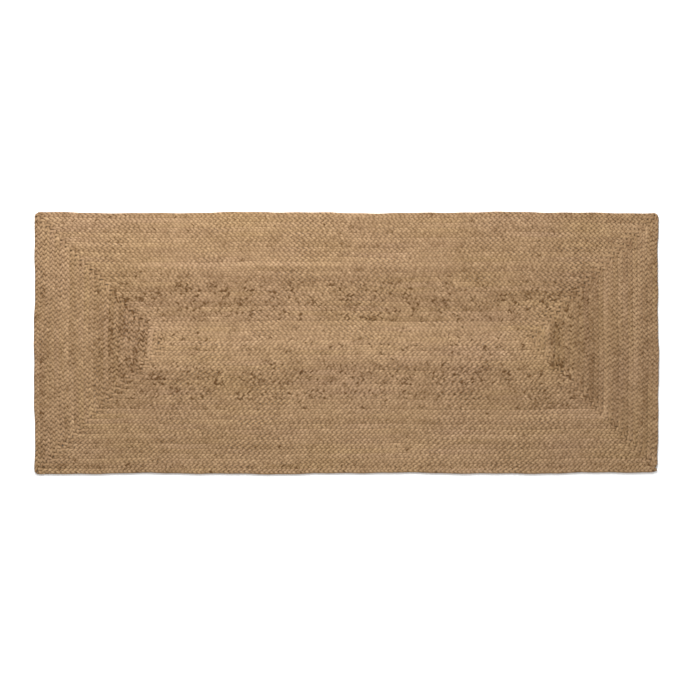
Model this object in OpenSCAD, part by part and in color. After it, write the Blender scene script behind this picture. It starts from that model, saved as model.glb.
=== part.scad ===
// Braided jute runner rug. A flat three-strand plait starts as a straight strip
// in the middle and is wound round it as a rectangular spiral. Each lap of the
// spiral is sewn edge to edge to the lap inside it.
// The rug is centred on the origin, +X along its length, its underside at Z = 0.

/* [Rug] */
// Length of the finished rug
rug_l = 1830; // [1300:10:2400]
// Laps of plait round the centre strip
laps = 26; // [6:1:27]
// Radius of the rug's corners, which every lap repeats
corner_r = 13; // [8:1:20]

/* [Plait] */
// Distance from one lap to the next: the width of the plait and its seam
lap_pitch = 14.45; // [12:0.05:20]
// Thickness of the plait
plait_t = 9; // [6:0.5:14]
// How far the plait's rounded edges draw in at its top and underside
edge_in = 1.4; // [0.5:0.1:2.5]
// Height of each rounded edge
edge_h = 2; // [1:0.1:2.4]

/* [Sewing] */
// Width of the joint between two laps, which the sewing thread fills
seam_w = 0.6; // [0.3:0.1:1]
// Height of the sewn band inside the joint
seam_h = 3; // [1:0.5:4]
// Distance of the line where each lap starts from the centre strip's right end
lap_start = 60; // [30:5:200]

/* [Hidden] */
// A number with two digits, as node names hold it
function two(n) = str(n < 10 ? "0" : "", n);

$fn = 48;
tail = laps + 1;
centre_l = rug_l - 2 * laps * lap_pitch;
start_x = centre_l / 2 - lap_start;
half_seam = seam_w / 2;
half_circle_gap = 0.01;

// Jute varies from one bale to the next, so the laps differ in tone from the
// edge of the rug inwards: [laps in the band, tone]
bands = [[9, "#b59567"], [4, "#bf9f74"], [9, "#9c7a52"], [laps, "#b79468"]];
thread_tone = "#cdb98f";

// The tone of the lap that lies this many laps in from the edge
function tone(inwards, i = 0) =
  inwards < bands[i][0] ? bands[i][1] : tone(inwards - bands[i][0], i + 1);

// Half the length and half the width of the rug once lap n is on
function half_l(n) = centre_l / 2 + n * lap_pitch;
function half_w(n) = (n + 0.5) * lap_pitch;

// A rectangle by its low and high corners. The corners that round_at names are
// rounded: a is low left, b low right, c high right and d high left.
module plate(low, high, r, round_at) {
  size = high - low;
  k = min(r, size[0] / 2 - half_circle_gap, size[1] / 2 - half_circle_gap);
  union() {
    translate(low + [k, 0]) square(size - [2 * k, 0]);
    translate(low + [0, k]) square(size - [0, 2 * k]);
    for (spot = [["a", 0, 0], ["b", 1, 0], ["c", 1, 1], ["d", 0, 1]]) {
      side = [spot[1], spot[2]];
      inner = [for (i = [0, 1]) side[i] > 0 ? high[i] - k : low[i] + k];
      if (len(search(spot[0], round_at)) > 0)
        translate(inner) circle(k);
      else
        translate([for (i = [0, 1]) side[i] > 0 ? high[i] - k : low[i]]) square(k);
    }
  }
}

// Everything that lies inside the spiral once lap n is on, grown by g all round.
// It is one row deeper left of the line where a lap starts than right of it,
// because a lap's last stretch runs below its own first stretch. The centre
// strip has its full length, and the tail squares the rug off.
module wound(n, g) {
  r = corner_r + g;
  x = half_l(min(n, laps)) + g;
  y = half_w(min(n, laps)) + g;
  if (n == 0) {
    plate([-x, -y], [x, y], r, "ad");
  } else if (n == tail) {
    plate([-x, -y], [x, y], r, "abcd");
  } else {
    plate([-x, -y], [start_x + g, y], r, "ad");
    plate([0, -half_w(n - 1) - g], [x, y], r, "bc");
  }
}

// The plan of lap n, drawn in by g from the joints on both its sides
module lap_plan(n, g) {
  difference() {
    wound(n, -g);
    if (n > 0) wound(n - 1, g);
  }
}

// The plait of lap n as one flat strip, its edges drawn in at top and underside
module plait(n) {
  color(tone(tail - n)) {
    translate([0, 0, edge_h])
      linear_extrude(plait_t - 2 * edge_h) lap_plan(n, half_seam);
    linear_extrude(plait_t) lap_plan(n, half_seam + edge_in);
  }
}

// The sewing thread in the joint between lap n and everything inside it. It
// stops just short of the joint outside lap n, which the next seam fills.
module seam(n) {
  color(thread_tone)
    translate([0, 0, (plait_t - seam_h) / 2]) linear_extrude(seam_h)
      difference() {
        intersection() {
          wound(n, -seam_w);
          wound(n - 1, half_seam);
        }
        wound(n - 1, -half_seam);
      }
}

// The straight first run of the plait
module centre_strip() { plait(0); }

// One lap of plait, from the lap start line round to it again one row further out
module lap(n) { plait(n); }

// The plait's last run, along the low edge and into the low right corner
module tail_end() { plait(tail); }

module tail_seam() { seam(tail); }

centre_strip();
for (n = [1:laps]) lap(n);
tail_end();
for (n = [1:laps]) seam(n);
tail_seam();
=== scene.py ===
import math
import bpy
import numpy as np
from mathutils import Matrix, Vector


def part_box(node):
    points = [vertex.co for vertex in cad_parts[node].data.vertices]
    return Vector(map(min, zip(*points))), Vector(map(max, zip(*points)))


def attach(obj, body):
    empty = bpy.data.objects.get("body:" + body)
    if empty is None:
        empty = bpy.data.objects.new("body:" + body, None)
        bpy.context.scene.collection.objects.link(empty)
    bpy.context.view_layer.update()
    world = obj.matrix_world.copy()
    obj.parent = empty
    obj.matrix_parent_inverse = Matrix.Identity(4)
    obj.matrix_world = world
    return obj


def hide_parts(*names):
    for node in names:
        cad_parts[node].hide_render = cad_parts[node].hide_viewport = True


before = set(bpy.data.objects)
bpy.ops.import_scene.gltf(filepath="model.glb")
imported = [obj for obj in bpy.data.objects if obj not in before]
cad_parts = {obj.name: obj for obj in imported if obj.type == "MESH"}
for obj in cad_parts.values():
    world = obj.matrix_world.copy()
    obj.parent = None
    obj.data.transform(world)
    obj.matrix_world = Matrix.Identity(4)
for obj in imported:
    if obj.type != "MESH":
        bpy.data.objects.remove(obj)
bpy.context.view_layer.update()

# ---------------------------------------------------------------- Studio
# The rug lies on a plain white floor and is seen from straight above. A broad
# round lamp high beyond its far edge and a white room round it light it.
CAMERA_HEIGHT = 4.86
CAMERA_LENS = 85.0
CAMERA_SIDE = 0.011
CAMERA_DOWN = -0.020
FLOOR_REACH = 30.0
FLOOR_DROP = 0.0003
FLOOR_WHITE = 0.98
FLOOR_ROUGHNESS = 0.9
LAMP_PLACE = np.array((-0.4, 1.8, 2.05))
LAMP_SIZE = 1.1
LAMP_WATTS = 111
ROOM_LIGHT = 0.74

camera = bpy.data.objects.new("camera", bpy.data.cameras.new("camera"))
camera.data.lens = CAMERA_LENS
camera.location = (CAMERA_SIDE, CAMERA_DOWN, CAMERA_HEIGHT)
camera.data.clip_end = 100.0
bpy.context.collection.objects.link(camera)
bpy.context.scene.camera = camera
bpy.context.scene.view_settings.view_transform = "Standard"

floor_mesh = bpy.data.meshes.new("floor")
floor_mesh.from_pydata(
    [(x * FLOOR_REACH, y * FLOOR_REACH, -FLOOR_DROP) for x, y in ((-1, -1), (1, -1), (1, 1), (-1, 1))],
    [], [(0, 1, 2, 3)])
floor = bpy.data.objects.new("floor", floor_mesh)
bpy.context.collection.objects.link(floor)
floor_paint = bpy.data.materials.new("white floor")
floor_paint.use_nodes = True
floor_shader = floor_paint.node_tree.nodes["Principled BSDF"]
floor_shader.inputs["Base Color"].default_value = (FLOOR_WHITE, FLOOR_WHITE, FLOOR_WHITE, 1)
floor_shader.inputs["Roughness"].default_value = FLOOR_ROUGHNESS
floor_mesh.materials.append(floor_paint)

lamp = bpy.data.objects.new("key light", bpy.data.lights.new("key light", "AREA"))
lamp.data.shape = "DISK"
lamp.data.size = LAMP_SIZE
lamp.data.energy = LAMP_WATTS
lamp.location = LAMP_PLACE
lamp.rotation_euler = (math.acos(LAMP_PLACE[2] / np.linalg.norm(LAMP_PLACE)), 0,
                       math.atan2(LAMP_PLACE[1], LAMP_PLACE[0]) + math.pi / 2)
bpy.context.collection.objects.link(lamp)
room = bpy.data.worlds.new("white room")
room.use_nodes = True
room.node_tree.nodes["Background"].inputs["Color"].default_value = (1, 1, 1, 1)
room.node_tree.nodes["Background"].inputs["Strength"].default_value = ROOM_LIGHT
bpy.context.scene.world = room

# ---------------------------------------------------------------- The winding
# One flat plait starts as a straight strip in the middle and is wound round it
# anticlockwise, one row further out at every lap. Each row keeps its width as it
# turns a corner, so there it reaches out along the diagonal.
laps = sum(name.startswith("lap_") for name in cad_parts)
LAP_NAMES = ["lap_%02d" % n for n in range(1, laps + 1)]
strip_low, strip_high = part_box("centre_strip")
plait_thick = strip_high.z
pitch = (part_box(LAP_NAMES[-1])[1].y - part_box(LAP_NAMES[0])[1].y) / (laps - 1)
joint = pitch - (strip_high.y - strip_low.y)
half_strip = strip_high.x + joint / 2
lap_start_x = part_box("tail_end")[0].x - joint / 2
CORNER_RADIUS = 0.013
CORNER_REACH = 0.026
TAIL_SHORT = 0.001
TAIL_RISE = 0.003
STEP = 0.001
MILLIMETRE = 0.001


def winding():
    """The plait's middle line in plan, its half width across to the outer side,
    and how many turns are wound so far, at every STEP along it."""
    turns = [(-half_strip, 0.0)]
    for n in range(1, laps + 1):
        x = half_strip + (n - 0.5) * pitch
        turns += [(x, (1 - n) * pitch), (x, n * pitch), (-x, n * pitch), (-x, -n * pitch)]
    turns.append((half_strip + laps * pitch - TAIL_SHORT, TAIL_RISE - laps * pitch))
    turns = np.array(turns)
    lengths = np.linalg.norm(np.diff(turns, axis=0), axis=1)
    line, across, wound = [], [], []
    for i, length in enumerate(lengths):
        go = (turns[i + 1] - turns[i]) / length
        out = np.array((go[1], -go[0]))
        first, last = i == 0, i == len(lengths) - 1
        before = 0 if first else min(CORNER_RADIUS, length / 2, lengths[i - 1] / 2)
        after = 0 if last else min(CORNER_RADIUS, length / 2, lengths[i + 1] / 2)
        d = np.arange(before, length - after, STEP)
        reach = min(CORNER_REACH, (length - before - after) / 2 + STEP)
        lead = np.clip(1 - (length - after - d) / reach, 0, 1) * (not last)
        lag = np.clip(1 - (d - before) / reach, 0, 1) * (not first)
        lean = lead * lead * (3 - 2 * lead) - lag * lag * (3 - 2 * lag)
        line.append(turns[i] + d[:, None] * go)
        across.append(pitch / 2 * (out + lean[:, None] * go))
        wound.append((i - 1 + d / length) / 4)
        if last:
            break
        bend = np.arange(0, math.pi / 2, STEP / after)[:, None]
        line.append(turns[i + 1] + after * (-go - out + np.sin(bend) * go + np.cos(bend) * out))
        across.append(np.repeat([pitch / 2 * (out + go)], len(bend), 0))
        wound.append(np.full(len(bend), i / 4))
    return np.concatenate(line), np.concatenate(across), np.concatenate(wound)


def by_hand(places):
    """Where a hand lays these places of the plan: rows swing a few millimetres
    to and fro, and neighbours swing together."""
    x, y = places.T
    tau = 2 * math.pi
    sway_x = (1.5 * np.sin(tau * y / 0.53 + 1.9 * x + 0.7) + 0.9 * np.sin(tau * y / 0.21 + 3.1 * x)
              + 0.5 * np.sin(tau * y / 0.087 + 23.0 * x + 1.3))
    sway_y = (1.7 * np.sin(tau * x / 0.71 + 4.3 * y + 2.1) + 0.9 * np.sin(tau * x / 0.26 + 7.9 * y)
              + 0.5 * np.sin(tau * x / 0.098 + 29.0 * y))
    return places + MILLIMETRE * np.stack([sway_x, sway_y], 1)


line, across, wound = winding()
outer, inner = by_hand(line + across), by_hand(line - across)
line, across = (outer + inner) / 2, (outer - inner) / 2
along = np.concatenate([[0], np.cumsum(np.linalg.norm(np.diff(line, axis=0), axis=1))])


def length_wound(n):
    """How much plait is used up where lap n ends at the lap start line."""
    low_row = (wound > n - 0.25) & (wound < n) & (line[:, 0] < lap_start_x)
    return along[low_row].max()


# ---------------------------------------------------------------- Jute
# Raw jute, spun loose and left undyed. Every length of plait is from another
# bale, so it has its own tone, and flakes of bark stay in the coarser bales.
class Wire:
    """One output socket. Sums on wires add the Math nodes that work them out."""

    def __init__(self, tree, socket):
        self.tree, self.socket = tree, socket

    @classmethod
    def node(cls, tree, kind, settings=None, sockets=None, out=0):
        """A node with its settings, then a value or a wire for each socket."""
        made = tree.nodes.new(kind)
        for name, value in (settings or {}).items():
            setattr(made, name, value)
        for name, value in (sockets or {}).items():
            if isinstance(value, Wire):
                tree.links.new(value.socket, made.inputs[name])
            else:
                made.inputs[name].default_value = value
        return cls(tree, made.outputs[out])

    def sum(self, operation, *others):
        values = dict(enumerate((self, *others)))
        return Wire.node(self.tree, "ShaderNodeMath", {"operation": operation}, values)

    def __add__(self, other):
        return self.sum("ADD", other)

    def __sub__(self, other):
        return self.sum("SUBTRACT", other)

    def __mul__(self, other):
        return self.sum("MULTIPLY", other)

    def __truediv__(self, other):
        return self.sum("DIVIDE", other)

    def __rsub__(self, other):
        return self.sum("MULTIPLY", -1.0).sum("ADD", other)

    __radd__ = __add__
    __rmul__ = __mul__


YARNS = 5
HAIR_LONG = 0.012
YARN_LONG = 0.022
TUFT_LONG = 0.0065
FLAKE_THICK = 0.0055
FLAKE_LONG = 0.012
BARK_START = 0.84
BARK_EDGE = 16.0
BARK_MOST = 0.92
STRAND_SHIFT = 37.7
BUMP_STRENGTH = 0.8
BUMP_HEIGHT = 0.0006
GLOSS = 0.25


def jute(name, dark, light, flakes, wide, hair_thick, yarn_thick, lay):
    """Jute whose fibres run along the strand, from its darkest to its lightest
    tone, with painted shade at its sides this wide apart from the middle, with bark
    in its own colour and a full turn of its yarns every lay."""
    paint = bpy.data.materials.new(name)
    paint.use_nodes = True
    tree = paint.node_tree
    shader = tree.nodes["Principled BSDF"]

    def own(name, out="Fac"):
        return Wire.node(tree, "ShaderNodeAttribute", {"attribute_name": name}, out=out)

    along, strand, bale, barky = own("along"), own("strand"), own("bale"), own("barky")
    girth = Wire.node(tree, "ShaderNodeSeparateXYZ", None, {0: own("girth", "Vector")})
    girth_y = Wire(tree, girth.socket.node.outputs[1])

    def fibres(thick, long, detail=2.0):
        """Noise drawn out along the strand, its grain this thick and this long."""
        place = Wire.node(tree, "ShaderNodeCombineXYZ", None, {
            0: girth / thick, 1: girth_y / thick, 2: along / long + strand * STRAND_SHIFT})
        return Wire.node(tree, "ShaderNodeTexNoise", {"noise_dimensions": "3D"}, {
            "Vector": place, "Scale": 1.0, "Detail": detail, "Roughness": 0.6})

    def drift(long, shift):
        """Noise that changes only with length, the strands apart by this shift."""
        return Wire.node(tree, "ShaderNodeTexNoise", {"noise_dimensions": "1D"}, {
            "W": along / long + strand * shift, "Scale": 1.0, "Detail": 1.0})

    def spread(fine):
        """Noise over the whole rug, this many patches to the metre."""
        return Wire.node(tree, "ShaderNodeTexNoise", {"noise_dimensions": "3D"}, {
            "Vector": Wire.node(tree, "ShaderNodeTexCoord", out=3), "Scale": fine, "Detail": 1.0})

    def about(noise, share):
        """Noise as a swing of this much to either side of none."""
        return (noise - 0.5) * share

    hair = fibres(hair_thick, HAIR_LONG)
    yarn = fibres(yarn_thick, YARN_LONG, 1.0)
    tuft = drift(TUFT_LONG, 53.1)
    # Painted shade: the tone falls off towards the strand's sides, where they lie in the shade between
    # strands.
    side_shade = (girth.sum("ABSOLUTE") / wide).sum("POWER", 3.0)
    tone = (bale - side_shade * 0.25 + about(hair, 0.45) + about(yarn, 0.45) + about(tuft, 0.62)
            + about(drift(0.035, 0.0), 0.32) + about(drift(0.25, 11.9), 0.30)
            + about(drift(0.9, 0.0), 0.32) + about(spread(18.0), barky * 0.30 + 0.06))
    straw = Wire.node(tree, "ShaderNodeMix", {"data_type": "RGBA", "clamp_factor": True}, {
        0: tone, 6: dark, 7: light}, out=2)
    flake = fibres(FLAKE_THICK, FLAKE_LONG, 0.0)
    flaky = flake + barky * 0.2 + about(drift(0.055, 0.0), 0.35) + about(hair, 0.3)
    bark = ((flaky - BARK_START) * BARK_EDGE).sum("MAXIMUM", 0.0).sum("MINIMUM", BARK_MOST)
    colour = Wire.node(tree, "ShaderNodeMix", {"data_type": "RGBA"}, {
        0: bark, 6: straw, 7: flakes}, out=2)
    warmth = Wire.node(tree, "ShaderNodeMix", {"data_type": "RGBA"}, {
        0: about(spread(4.0), 1.7) + about(drift(0.4, 0.0), 1.2) + 0.5,
        6: (0.995, 1.0, 0.94, 1), 7: (1.005, 1.0, 1.06, 1)}, out=2)
    colour = Wire.node(tree, "ShaderNodeMix", {"data_type": "RGBA", "blend_type": "MULTIPLY"}, {
        0: 1.0, 6: colour, 7: warmth}, out=2)
    tree.links.new(colour.socket, shader.inputs["Base Color"])

    turn = girth_y.sum("ARCTAN2", girth) * float(YARNS) + along * (2 * math.pi / lay)
    ridge = turn.sum("SINE")
    height = ridge * 0.30 + hair * 0.9 + yarn * 0.8
    bump = Wire.node(tree, "ShaderNodeBump", None, {
        "Strength": BUMP_STRENGTH, "Distance": BUMP_HEIGHT, "Height": height})
    tree.links.new(bump.socket, shader.inputs["Normal"])
    rough = 0.93 - hair * 0.16
    tree.links.new(rough.socket, shader.inputs["Roughness"])
    shader.inputs["Specular IOR Level"].default_value = GLOSS
    return paint


jute_paint = jute("plaited jute", (0.118, 0.058, 0.020, 1), (0.437, 0.289, 0.160, 1),
                  (0.085, 0.038, 0.010, 1), 0.0044, 0.0007, 0.0022, 0.045)

# ---------------------------------------------------------------- The plait
# Three slack strands of jute, plaited flat. Each strand crosses the top from one
# edge to the other, folds down over that edge and comes back underneath.
LOBE = 0.0134
STRANDS = 3
STRAND_WIDE = 0.0088
STRAND_THICK = 0.0052
SWING = 0.87
LIFT = 0.0027
FOLD = math.pi / 2
SQUASH = 0.0056
RING_SPOTS = np.radians((15, 48, 76, 104, 132, 165))
SIDES = 8
SLACK = 0.24
SLACK_LENGTH = 0.06


def open_tree(title, fed, made, inputs):
    """An empty tree fed with a geometry, that makes another, with named inputs
    and the value that each starts from."""
    tree = bpy.data.node_groups.new(title, "GeometryNodeTree")
    tree.interface.new_socket(fed, in_out="INPUT", socket_type="NodeSocketGeometry")
    sockets = {}
    for name, (kind, start) in inputs.items():
        socket = tree.interface.new_socket(name, in_out="INPUT", socket_type="NodeSocket" + kind)
        if start is not None:
            socket.default_value = start
        sockets[name] = socket.identifier
    tree.interface.new_socket(made, in_out="OUTPUT", socket_type="NodeSocketGeometry")
    entry = tree.nodes.new("NodeGroupInput")

    def given(name):
        return Wire(tree, entry.outputs[name])

    return tree, sockets, given


def close_tree(tree, whole, paint):
    """Smooths and paints what the tree has made and hands it out."""
    whole = Wire.node(tree, "GeometryNodeSetShadeSmooth", None, {"Geometry": whole})
    whole = Wire.node(tree, "GeometryNodeRealizeInstances", None, {"Geometry": whole})
    whole = Wire.node(tree, "GeometryNodeSetMaterial", None, {"Geometry": whole, "Material": paint})
    tree.links.new(whole.socket, tree.nodes.new("NodeGroupOutput").inputs[0])


def stored(tree, name, kind="FLOAT"):
    return Wire.node(tree, "GeometryNodeInputNamedAttribute", {"data_type": kind}, {"Name": name})


def plait_tree():
    tree, sockets, given = open_tree("three strand plait", "Path", "Plait", {
        "Strand width": ("Float", STRAND_WIDE), "Strand thickness": ("Float", STRAND_THICK),
        "Swing": ("Float", SWING), "Lift": ("Float", LIFT), "Fold": ("Float", FOLD),
        "Middle height": ("Float", plait_thick / 2), "Squash": ("Float", SQUASH),
        "Seed": ("Float", 7.0), "Jute": ("Material", None)})

    def height(value):
        return Wire.node(tree, "ShaderNodeCombineXYZ", None, {2: value})

    circle = Wire.node(tree, "GeometryNodeCurvePrimitiveCircle", None, {
        "Resolution": SIDES, "Radius": 0.5})
    size = Wire.node(tree, "ShaderNodeCombineXYZ", None, {
        0: given("Strand width"), 1: given("Strand thickness"), 2: 1.0})
    section = Wire.node(tree, "GeometryNodeTransform", None, {"Geometry": circle, "Scale": size})
    place = Wire.node(tree, "GeometryNodeInputPosition")
    section = Wire.node(tree, "GeometryNodeStoreNamedAttribute", {"data_type": "FLOAT_VECTOR"}, {
        "Geometry": section, "Name": "girth", "Value": place})

    turn = stored(tree, "phase")
    swing = Wire.node(tree, "ShaderNodeVectorMath", {"operation": "SCALE"}, {
        0: stored(tree, "across", "FLOAT_VECTOR"), "Scale": turn.sum("SINE") * given("Swing")})
    lift = height((turn * 2.0).sum("SINE") * given("Lift") + given("Middle height"))
    laid = Wire.node(tree, "ShaderNodeVectorMath", {"operation": "ADD"}, {0: swing, 1: lift})
    laid = Wire.node(tree, "GeometryNodeSetPosition", None, {"Geometry": given("Path"), "Offset": laid})
    curve = Wire.node(tree, "GeometryNodeMeshToCurve", None, {"Mesh": laid})
    curve = Wire.node(tree, "GeometryNodeSetCurveNormal", {"mode": "Z_UP"}, {"Curve": curve})
    fold = (1.0 - (turn.sum("COSINE") * (math.pi / 2)).sum("SINE")) * given("Fold")
    curve = Wire.node(tree, "GeometryNodeSetCurveTilt", None, {"Curve": curve, "Tilt": fold})
    slack = Wire.node(tree, "ShaderNodeTexNoise", {"noise_dimensions": "1D"}, {
        "W": stored(tree, "along") / SLACK_LENGTH + given("Seed") * (stored(tree, "strand") + 1.0),
        "Scale": 1.0, "Detail": 1.0})
    whole = Wire.node(tree, "GeometryNodeCurveToMesh", None, {
        "Curve": curve, "Profile Curve": section,
        "Scale": stored(tree, "swell") * (1.0 - SLACK / 2 + SLACK * slack), "Fill Caps": True})
    over = Wire(tree, Wire.node(tree, "ShaderNodeSeparateXYZ", None, {0: place}).socket.node.outputs[2])
    over = over - given("Middle height")
    pressed = (over / given("Squash")).sum("TANH") * given("Squash") - over
    whole = Wire.node(tree, "GeometryNodeSetPosition", None, {
        "Geometry": whole, "Offset": height(pressed)})
    close_tree(tree, whole, given("Jute"))
    return tree, sockets


# Where the plait's tone changes, in turns wound from the middle, with its tone and
# how much bark it holds: mostly where a new length of plait starts, in places at
# every side, darker on the rows across the rug's ends. Those rows also get painted
# shade: their tone is lowered by END_SHADE.
BALES = (
    (-1.0, 0.62, 0.55), (2.5, 0.60, 0.25), (3.5, 0.47, 1.0), (3.75, 0.55, 0.6), (4.0, 0.42, 0.9),
    (4.25, 0.53, 0.9), (4.5, 0.41, 1.2), (4.75, 0.51, 0.7), (5.0, 0.42, 1.2), (5.25, 0.51, 0.9),
    (6.0, 0.48, 0.9), (6.25, 0.50, 0.95), (8.75, 0.47, 0.5), (9.25, 0.49, 0.9), (11.5, 0.48, 0.35),
    (12.0, 0.40, 0.5), (12.25, 0.47, 0.5), (13.75, 0.56, 0.1), (14.0, 0.49, 0.3), (14.5, 0.56, 0.1),
    (15.0, 0.62, 0.0), (15.5, 0.53, 0.1), (17.0, 0.48, 0.2), (17.25, 0.53, 0.1), (20.3, 0.54, 0.2),
    (24.5, 0.48, 0.6), (25.0, 0.54, 0.35))
END_SHADE = 0.06

PACE = 2 * math.pi / (STRANDS * LOBE)
SLIP = 0.65
SLIP_LENGTH = 0.1
NEST_LENGTH = 0.1
TAPER_LENGTH = 0.015


def plait_phase():
    """How far the plaiting has come at each place of the middle line. On each
    straight run it is shifted so that its loops nest between its neighbour's."""
    run = PACE * along
    side = np.floor(wound * 4 + 1e-6).astype(int)
    heading = np.array(((0, 1), (-1, 0), (0, -1), (1, 0)))
    ahead = PACE * (line * heading[side % 4]).sum(1)
    lobe_turn = 2 * math.pi / STRANDS
    shift = np.zeros(len(along))
    last = 0.0
    for s in range(side.min(), side.max() + 1):
        here = side == s
        last += math.remainder(np.median((ahead - run)[here]) - last, lobe_turn)
        shift[here] = last
    reach = round(NEST_LENGTH / STEP / 2)
    evenly = np.full(2 * reach + 1, 1 / (2 * reach + 1))
    shift = np.convolve(np.pad(shift, reach, "edge"), evenly, "valid")
    x, y = line.T
    loose = 0.9 * np.sin(9.0 * x + 3.0 * y) + 0.5 * np.sin(23.0 * x - 11.0 * y)
    slips = np.random.default_rng(19).normal(0, SLIP, math.ceil(along[-1] / SLIP_LENGTH) + 1)
    return run + shift + loose + np.interp(along / SLIP_LENGTH, np.arange(len(slips)), slips)


phase = plait_phase()


def path_piece(name, start, end):
    """The plait's middle line between two lengths, once for each strand, with a
    point for each ring of the strand and what the tree and paint need there."""
    first, last = np.interp((start, end), along, phase)
    half_turns = np.arange(math.floor(first / math.pi) - 2, math.ceil(last / math.pi) + 3) * math.pi
    turns, strand = [], []
    for k in range(STRANDS):
        t = (half_turns[:, None] + RING_SPOTS).ravel() - 2 * math.pi * k / STRANDS
        low, high = np.searchsorted(t, (first, last), "right")
        t = np.concatenate([[max(t[low - 1], phase[0])], t[low:high], [min(t[high], phase[-1])]])
        turns.append(t)
        strand.append(np.full(len(t), float(k)))
    strand = np.concatenate(strand)
    at = np.interp(np.concatenate(turns), phase, along)
    plan = np.stack([np.interp(at, along, line[:, i]) for i in (0, 1)], 1)
    wide = np.stack([np.interp(at, along, across[:, i]) for i in (0, 1)], 1)
    bale = np.interp(at, along, wound)
    bale = np.array(BALES)[np.searchsorted([b[0] for b in BALES], bale, "right") - 1]
    # Painted shade: rows across the rug's ends are darkened by END_SHADE.
    ends = np.abs(wide[:, 0]) / (pitch / 2)
    near_end = np.minimum(at / TAPER_LENGTH, (along[-1] - at) / TAPER_LENGTH).clip(0, 1)
    stretch = np.linalg.norm(wide, axis=1) / (pitch / 2)
    mesh = bpy.data.meshes.new(name)
    mesh.from_pydata(np.pad(plan, ((0, 0), (0, 1))),
                     [(i, i + 1) for i in range(len(at) - 1) if strand[i] == strand[i + 1]], [])
    for key, values in (
            ("phase", np.concatenate(turns) + 2 * math.pi * strand / STRANDS), ("along", at),
            ("strand", strand), ("bale", bale[:, 1] - END_SHADE * ends), ("barky", bale[:, 2]),
            ("swell", (0.8 + 0.2 * stretch) * (0.6 + 0.4 * near_end))):
        mesh.attributes.new(key, "FLOAT", "POINT").data.foreach_set("value", values.astype(np.float32))
    wide = np.pad(wide * (0.45 + 0.55 * near_end)[:, None], ((0, 0), (0, 1)))
    mesh.attributes.new("across", "FLOAT_VECTOR", "POINT").data.foreach_set(
        "vector", wide.astype(np.float32).ravel())
    return mesh


def unroll(mesh, sides):
    """A map of tubes opened out flat: the rings run along rows of the map, one
    row under another, so that no two faces share a place."""
    rings = len(mesh.vertices) // sides
    corner = np.empty(len(mesh.loops), np.int32)
    mesh.loops.foreach_get("vertex_index", corner)
    first = np.empty(len(mesh.polygons), np.int32)
    count = np.empty(len(mesh.polygons), np.int32)
    mesh.polygons.foreach_get("loop_start", first)
    mesh.polygons.foreach_get("loop_total", count)
    ring, side = corner // sides, corner % sides
    low_ring = np.repeat(np.minimum.reduceat(ring, first), count)
    past_seam = np.repeat(np.maximum.reduceat(side, first) == sides - 1, count)
    is_cap = np.repeat(count != 4, count)
    side = np.where(past_seam & (side == 0) & ~is_cap, sides, side)
    edge = (mesh.vertices[0].co - mesh.vertices[1].co).length
    pace = (mesh.vertices[0].co - mesh.vertices[sides].co).length
    rows = max(1, round(math.sqrt(rings * pace / (edge * sides))))
    per_row = math.ceil(rings / rows)
    row, spot = low_ring // per_row, low_ring % per_row
    margin = 0.06
    u = (spot + (ring - low_ring)) / per_row
    v = (row + margin + (1 - 2 * margin) * side / sides) / rows
    layer = mesh.uv_layers.new(name="OFBake")
    layer.uv.foreach_set("vector", np.stack([u, v], 1).astype(np.float32).ravel())


def grown(name, mesh, tree, sockets, values):
    """The plain mesh that a tree makes out of a path."""
    piece = bpy.data.objects.new(name, mesh)
    bpy.context.collection.objects.link(piece)
    modifier = piece.modifiers.new(name, "NODES")
    modifier.node_group = tree
    for key, value in values.items():
        modifier[sockets[key]] = value
    solid = bpy.data.meshes.new_from_object(
        piece.evaluated_get(bpy.context.evaluated_depsgraph_get()))
    piece.modifiers.remove(modifier)
    piece.data = solid
    bpy.data.meshes.remove(mesh)
    solid.name = name
    return piece


plait, plait_sockets = plait_tree()
strip_end = along[(wound < 0) & (line[:, 0] < half_strip)].max()
cuts = [0.0, strip_end] + [length_wound(n) for n in range(1, laps + 1)] + [along[-1]]
nodes = ["centre_strip", *LAP_NAMES, "tail_end"]
for node, start, end in zip(nodes, cuts, cuts[1:]):
    piece = grown("plait_" + node, path_piece(node, start, end), plait, plait_sockets,
                  {"Jute": jute_paint})
    unroll(piece.data, SIDES)
    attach(piece, "root")
    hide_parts(node)

# ---------------------------------------------------------------- Sewing twine
# A thin jute twine sews each lap to the lap inside it. It runs round the joint
# once for every loop of the plait and sinks between the loops.
TWINE_THICK = 0.0012
STITCH_WIDE = 0.0030
STITCH_HIGH = 0.0031
STITCH_RINGS = 6
TWINE_SIDES = 4
TWINE_SPLIT = 16
TWINE_PER_JOINT = 1.6
TWINE_TONE = 0.55


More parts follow.
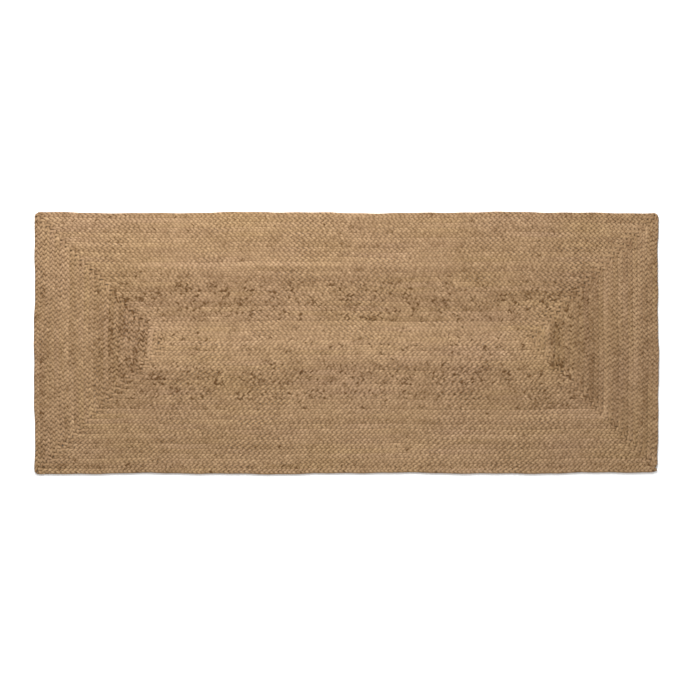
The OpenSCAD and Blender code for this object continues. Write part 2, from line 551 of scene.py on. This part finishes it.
def twine_tree():
    tree, sockets, given = open_tree("joint sewn over and over", "Path", "Twine", {
        "Twine thickness": ("Float", TWINE_THICK), "Stitch width": ("Float", STITCH_WIDE),
        "Stitch height": ("Float", STITCH_HIGH), "Middle height": ("Float", plait_thick / 2),
        "Jute": ("Material", None)})
    circle = Wire.node(tree, "GeometryNodeCurvePrimitiveCircle", None, {
        "Resolution": TWINE_SIDES, "Radius": given("Twine thickness") / 2.0})
    section = Wire.node(tree, "GeometryNodeStoreNamedAttribute", {"data_type": "FLOAT_VECTOR"}, {
        "Geometry": circle, "Name": "girth", "Value": Wire.node(tree, "GeometryNodeInputPosition")})
    turn = stored(tree, "phase")
    aside = Wire.node(tree, "ShaderNodeVectorMath", {"operation": "SCALE"}, {
        0: stored(tree, "across", "FLOAT_VECTOR"), "Scale": turn.sum("SINE") * given("Stitch width")})
    rise = Wire.node(tree, "ShaderNodeCombineXYZ", None, {
        2: turn.sum("COSINE") * given("Stitch height") + given("Middle height")})
    sewn = Wire.node(tree, "ShaderNodeVectorMath", {"operation": "ADD"}, {0: aside, 1: rise})
    sewn = Wire.node(tree, "GeometryNodeSetPosition", None, {"Geometry": given("Path"), "Offset": sewn})
    curve = Wire.node(tree, "GeometryNodeMeshToCurve", None, {"Mesh": sewn})
    whole = Wire.node(tree, "GeometryNodeCurveToMesh", None, {
        "Curve": curve, "Profile Curve": section, "Fill Caps": True})
    close_tree(tree, whole, given("Jute"))
    return tree, sockets


def joint_piece(name, start, end):
    """The middle of the joint between two lengths, a point for each ring."""
    first, last = np.interp((start, end), along, phase) * STRANDS * STITCH_RINGS / (2 * math.pi)
    turns = np.arange(math.ceil(first), math.floor(last)) * 2 * math.pi / STITCH_RINGS
    at = np.interp(turns / STRANDS, phase, along)
    joint = np.stack([np.interp(at, along, (line - across)[:, i]) for i in (0, 1)], 1)
    aside = np.stack([np.interp(at, along, across[:, i]) for i in (0, 1)], 1)
    aside /= np.linalg.norm(aside, axis=1)[:, None]
    mesh = bpy.data.meshes.new(name)
    mesh.from_pydata(np.pad(joint, ((0, 0), (0, 1))), [(i, i + 1) for i in range(len(at) - 1)], [])
    for key, values in (("phase", turns), ("along", at * TWINE_PER_JOINT), ("strand", at * 0),
                        ("bale", TWINE_TONE + at * 0), ("barky", at * 0)):
        mesh.attributes.new(key, "FLOAT", "POINT").data.foreach_set("value", values.astype(np.float32))
    mesh.attributes.new("across", "FLOAT_VECTOR", "POINT").data.foreach_set(
        "vector", np.pad(aside, ((0, 0), (0, 1))).astype(np.float32).ravel())
    return mesh


twine_paint = jute("jute twine", (0.15, 0.085, 0.04, 1), (0.42, 0.285, 0.16, 1),
                   (0.075, 0.038, 0.016, 1), 0.0012, 0.0004, 0.0008, 0.006)
twine, twine_sockets = twine_tree()
seams = [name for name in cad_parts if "seam" in name]
for name, start, end, sewn in (
        ("twine_inner_laps", strip_end, cuts[TWINE_SPLIT + 1], seams[:TWINE_SPLIT]),
        ("twine_outer_laps", cuts[TWINE_SPLIT + 1], along[-1], seams[TWINE_SPLIT:])):
    piece = grown(name, joint_piece(name, start, end), twine, twine_sockets, {"Jute": twine_paint})
    unroll(piece.data, TWINE_SIDES)
    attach(piece, "root")
    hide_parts(*sewn)

# ---------------------------------------------------------------- Loose fibres
# Jute sheds: short fibre ends have worked loose all over the plait. They are
# held at one end in a strand and lie on it or stand a little out of it.
FIBRES = 6500
FIBRE_THICK = 0.00024
FIBRE_LONG = 0.015
FIBRE_STEPS = 4
FIBRE_SIDES = 3


def fibre_tree():
    tree, sockets, given = open_tree("loose fibres", "Field", "Fibres", {
        "Fibre thickness": ("Float", FIBRE_THICK), "Fibre length": ("Float", FIBRE_LONG),
        "Seed": ("Int", 5), "Jute": ("Material", None)})

    def chance(low, high, shift):
        return Wire.node(tree, "FunctionNodeRandomValue", {"data_type": "FLOAT"}, {
            2: low, 3: high, "Seed": given("Seed") + float(shift)}, out=1)

    hair = Wire.node(tree, "GeometryNodeCurveQuadraticBezier", None, {
        "Resolution": FIBRE_STEPS, "Start": (0, 0, -0.0008), "Middle": (0.006, 0.0035, 0.0022),
        "End": (FIBRE_LONG, 0.001, 0.0002)})
    turned = Wire.node(tree, "ShaderNodeCombineXYZ", None, {
        0: chance(-0.5, 0.5, 1), 1: chance(-0.12, 0.10, 2), 2: chance(0.0, 2 * math.pi, 3)})
    spots = Wire.node(tree, "GeometryNodeMeshToPoints", None, {"Mesh": given("Field")})
    hairs = Wire.node(tree, "GeometryNodeInstanceOnPoints", None, {
        "Points": spots, "Instance": hair, "Rotation": turned,
        "Scale": chance(0.35, 1.15, 4) * given("Fibre length") / FIBRE_LONG})
    hairs = Wire.node(tree, "GeometryNodeRealizeInstances", None, {"Geometry": hairs})
    circle = Wire.node(tree, "GeometryNodeCurvePrimitiveCircle", None, {
        "Resolution": FIBRE_SIDES, "Radius": given("Fibre thickness") / 2.0})
    section = Wire.node(tree, "GeometryNodeStoreNamedAttribute", {"data_type": "FLOAT_VECTOR"}, {
        "Geometry": circle, "Name": "girth", "Value": Wire.node(tree, "GeometryNodeInputPosition")})
    reach = Wire.node(tree, "GeometryNodeSplineParameter", out=1)
    hairs = Wire.node(tree, "GeometryNodeStoreNamedAttribute", {"data_type": "FLOAT"}, {
        "Geometry": hairs, "Name": "along", "Value": reach})
    whole = Wire.node(tree, "GeometryNodeCurveToMesh", None, {
        "Curve": hairs, "Profile Curve": section, "Fill Caps": True})
    close_tree(tree, whole, given("Jute"))
    return tree, sockets


def fibre_field():
    """Where the fibres are held: anywhere along the plait, near its top."""
    luck = np.random.default_rng(31)
    at = luck.uniform(0.02, along[-1] - 0.02, FIBRES)
    lean = luck.uniform(-0.9, 0.9, FIBRES)
    spots = np.zeros((FIBRES, 3))
    for i in (0, 1):
        spots[:, i] = np.interp(at, along, line[:, i]) + lean * np.interp(at, along, across[:, i])
    spots[:, 2] = plait_thick * luck.uniform(0.80, 0.93, FIBRES)
    mesh = bpy.data.meshes.new("fibres")
    mesh.from_pydata(spots, [], [])
    for key, values in (("strand", luck.uniform(0, 9, FIBRES)),
                        ("bale", luck.uniform(0.75, 1.20, FIBRES)), ("barky", 0 * at)):
        mesh.attributes.new(key, "FLOAT", "POINT").data.foreach_set("value", values.astype(np.float32))
    return mesh


loose, loose_sockets = fibre_tree()
piece = grown("loose_fibres", fibre_field(), loose, loose_sockets, {"Jute": twine_paint})
unroll(piece.data, FIBRE_SIDES)
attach(piece, "root")
